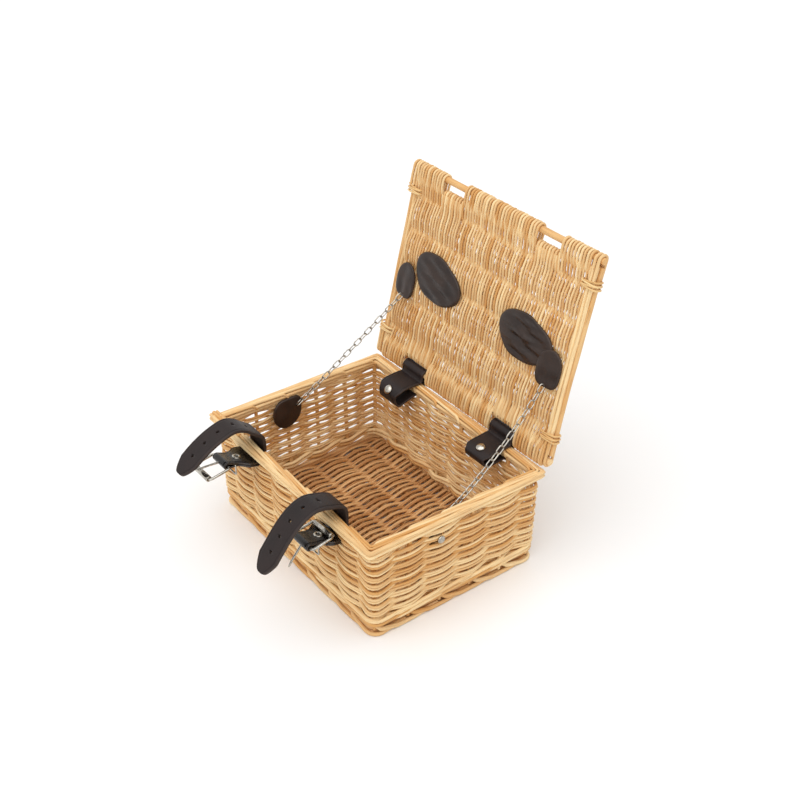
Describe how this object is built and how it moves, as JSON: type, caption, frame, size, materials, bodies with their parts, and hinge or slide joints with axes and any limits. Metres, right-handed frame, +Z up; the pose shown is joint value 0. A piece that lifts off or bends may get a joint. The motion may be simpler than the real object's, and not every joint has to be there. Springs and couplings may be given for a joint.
{
  "type": "hamper basket",
  "caption": "Small woven willow hamper with an opening lid held by chains, leather strap hinges and buckled leather straps, for carrying and storing food or gifts.",
  "frame": {"origin": "centre of the base panel's underside, on the surface that the hamper stands on", "axes": "+Z up, the front with its straps and buckles towards -Y, the lid's hinge towards +Y, +X to the right seen from the front"},
  "size_m": [0.2586, 0.3202, 0.2949],
  "materials": {
    "willow_weave": "woven buff willow, satin",
    "willow_rod": "round buff willow rods, satin",
    "base_weave": "woven buff willow, darker in the shaded base",
    "cane_tie": "wrapped cane",
    "strap_leather": "smooth dark brown leather with a creased edge line",
    "patch_leather": "soft dark leather, puckered",
    "nickel": "nickel-plated steel, polished"
  },
  "bodies": {
    "basket": {"base_panel": "base_weave", "foot_rod_front": "willow_rod", "foot_rod_back": "willow_rod", "foot_rod_left": "willow_rod", "foot_rod_right": "willow_rod", "wall_front": "willow_weave", "wall_back": "willow_weave", "wall_left": "willow_weave", "wall_right": "willow_weave", "corner_post_front_left": "willow_weave", "corner_post_front_right": "willow_weave", "corner_post_back_left": "willow_weave", "corner_post_back_right": "willow_weave", "border_front": "willow_rod", "border_back": "willow_rod", "border_left": "willow_rod", "border_right": "willow_rod", "hinge_loop_left": "strap_leather", "hinge_loop_right": "strap_leather", "hinge_rivet_left": "nickel", "hinge_rivet_right": "nickel", "wall_patch_left": "patch_leather", "wall_patch_right": "patch_leather", "side_rivet_left": "nickel", "side_rivet_right": "nickel", "chain_left": "nickel", "chain_right": "nickel", "buckle_tab_left": "strap_leather", "buckle_tab_right": "strap_leather", "tab_eyelet_left": "nickel", "tab_eyelet_right": "nickel"},
    "lid": {"lid_panel": "willow_weave", "lid_back_rod": "willow_rod", "lid_front_rod": "willow_rod", "lid_edge_rods_left": "willow_rod", "lid_edge_rods_right": "willow_rod", "lid_tie_back_left": "cane_tie", "lid_tie_back_right": "cane_tie", "lid_tie_front_left": "cane_tie", "lid_tie_front_right": "cane_tie", "lid_patch_left": "patch_leather", "lid_patch_right": "patch_leather", "lid_rivet_left": "nickel", "lid_rivet_right": "nickel", "handle_pad_left": "patch_leather", "handle_pad_right": "patch_leather", "carry_handle": "strap_leather", "handle_rivet_left": "nickel", "handle_rivet_right": "nickel"},
    "strap_left": {"strap_left": "strap_leather"},
    "strap_right": {"strap_right": "strap_leather"},
    "buckle_left": {"buckle_frame_left": "nickel"},
    "buckle_right": {"buckle_frame_right": "nickel"},
    "roller_left": {"roller_left": "nickel"},
    "roller_right": {"roller_right": "nickel"},
    "prong_left": {"prong_left": "nickel"},
    "prong_right": {"prong_right": "nickel"},
    "keeper_left": {"keeper_left": "nickel"},
    "keeper_right": {"keeper_right": "nickel"}
  },
  "joints": [
    {"name": "lid_hinge", "type": "hinge", "parent": "basket", "child": "lid", "pos_m": [0, 0.0995, 0.1067], "axis": [1, 0, 0], "range_deg": [0, 103.9], "deforming": ["chain_left", "chain_right", "strap_left", "strap_right"]},
    {"name": "strap_left_lift", "type": "hinge", "parent": "basket", "child": "strap_left", "pos_m": [-0.065, -0.0832, 0.0795], "axis": [-1, 0, 0], "range_deg": [0, 12]},
    {"name": "strap_right_lift", "type": "hinge", "parent": "basket", "child": "strap_right", "pos_m": [0.065, -0.0832, 0.0795], "axis": [-1, 0, 0], "range_deg": [0, 12]},
    {"name": "buckle_left_swing", "type": "hinge", "parent": "basket", "child": "buckle_left", "pos_m": [-0.065, -0.12155, 0.09259], "axis": [-1, 0, 0], "range_deg": [-70, 40]},
    {"name": "buckle_right_swing", "type": "hinge", "parent": "basket", "child": "buckle_right", "pos_m": [0.065, -0.11994, 0.08398], "axis": [1, 0, 0], "range_deg": [0, 169]},
    {"name": "roller_left_turn", "type": "hinge", "parent": "buckle_left", "child": "roller_left", "pos_m": [-0.065, -0.14223, 0.08895], "axis": [1, 0, 0], "continuous": true},
    {"name": "roller_right_turn", "type": "hinge", "parent": "buckle_right", "child": "roller_right", "pos_m": [0.065, -0.09926, 0.08763], "axis": [1, 0, 0], "continuous": true},
    {"name": "prong_left_lift", "type": "hinge", "parent": "buckle_left", "child": "prong_left", "pos_m": [-0.065, -0.12155, 0.09259], "axis": [-1, 0, 0], "range_deg": [0, 80]},
    {"name": "prong_right_swing", "type": "hinge", "parent": "basket", "child": "prong_right", "pos_m": [0.065, -0.11994, 0.08398], "axis": [-1, 0, 0], "range_deg": [-25, 40]},
    {"name": "keeper_left_swing", "type": "hinge", "parent": "basket", "child": "keeper_left", "pos_m": [-0.065, -0.11424, 0.09095], "axis": [1, 0, 0], "range_deg": [-40, 40]},
    {"name": "keeper_right_swing", "type": "hinge", "parent": "basket", "child": "keeper_right", "pos_m": [0.065, -0.11248, 0.08327], "axis": [1, 0, 0], "range_deg": [-40, 40]}
  ]
}
